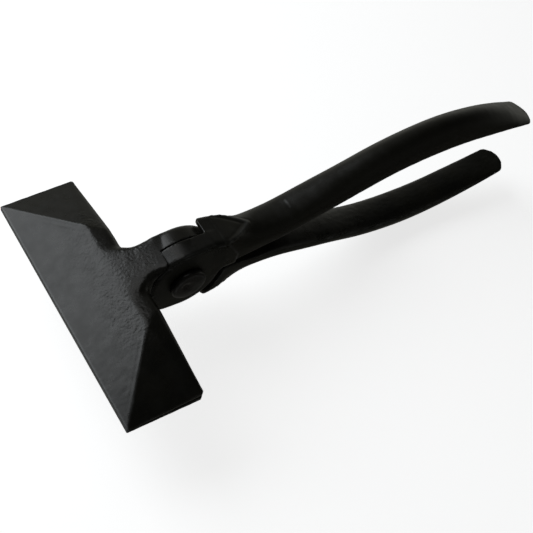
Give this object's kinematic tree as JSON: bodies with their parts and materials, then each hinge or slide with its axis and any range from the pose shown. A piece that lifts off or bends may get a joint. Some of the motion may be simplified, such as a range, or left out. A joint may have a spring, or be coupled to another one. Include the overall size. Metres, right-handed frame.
{
  "type": "hand seamer",
  "caption": "Hand seamer: wide flat folding jaws on crossing forged handles, joined by a rivet, for bending sheet metal edges.",
  "frame": {"origin": "centre of the closed tool's bounding box; the rivet's centre is 57.9 mm from it towards the jaw", "axes": "+X from the jaw's gripping edge to the handle ends, +Y along the rivet, +Z from the lower jaw to the upper jaw; the jaws meet on Z = 0"},
  "size_m": [0.1982, 0.0888, 0.0544],
  "materials": {
    "black_forging": "semi-gloss black over a pebbled forged surface",
    "black_rivet": "satin black, rubbed at the edge of the head"
  },
  "bodies": {
    "upper_half": {"upper_jaw_forging": "black_forging", "pivot_rivet": "black_rivet"},
    "lower_half": {"lower_jaw_forging": "black_forging"}
  },
  "joints": [
    {"name": "jaw_pivot", "type": "hinge", "parent": "upper_half", "child": "lower_half", "pos_m": [-0.0579, 0, 0], "axis": [0, -1, 0], "range_deg": [0, 44]}
  ]
}
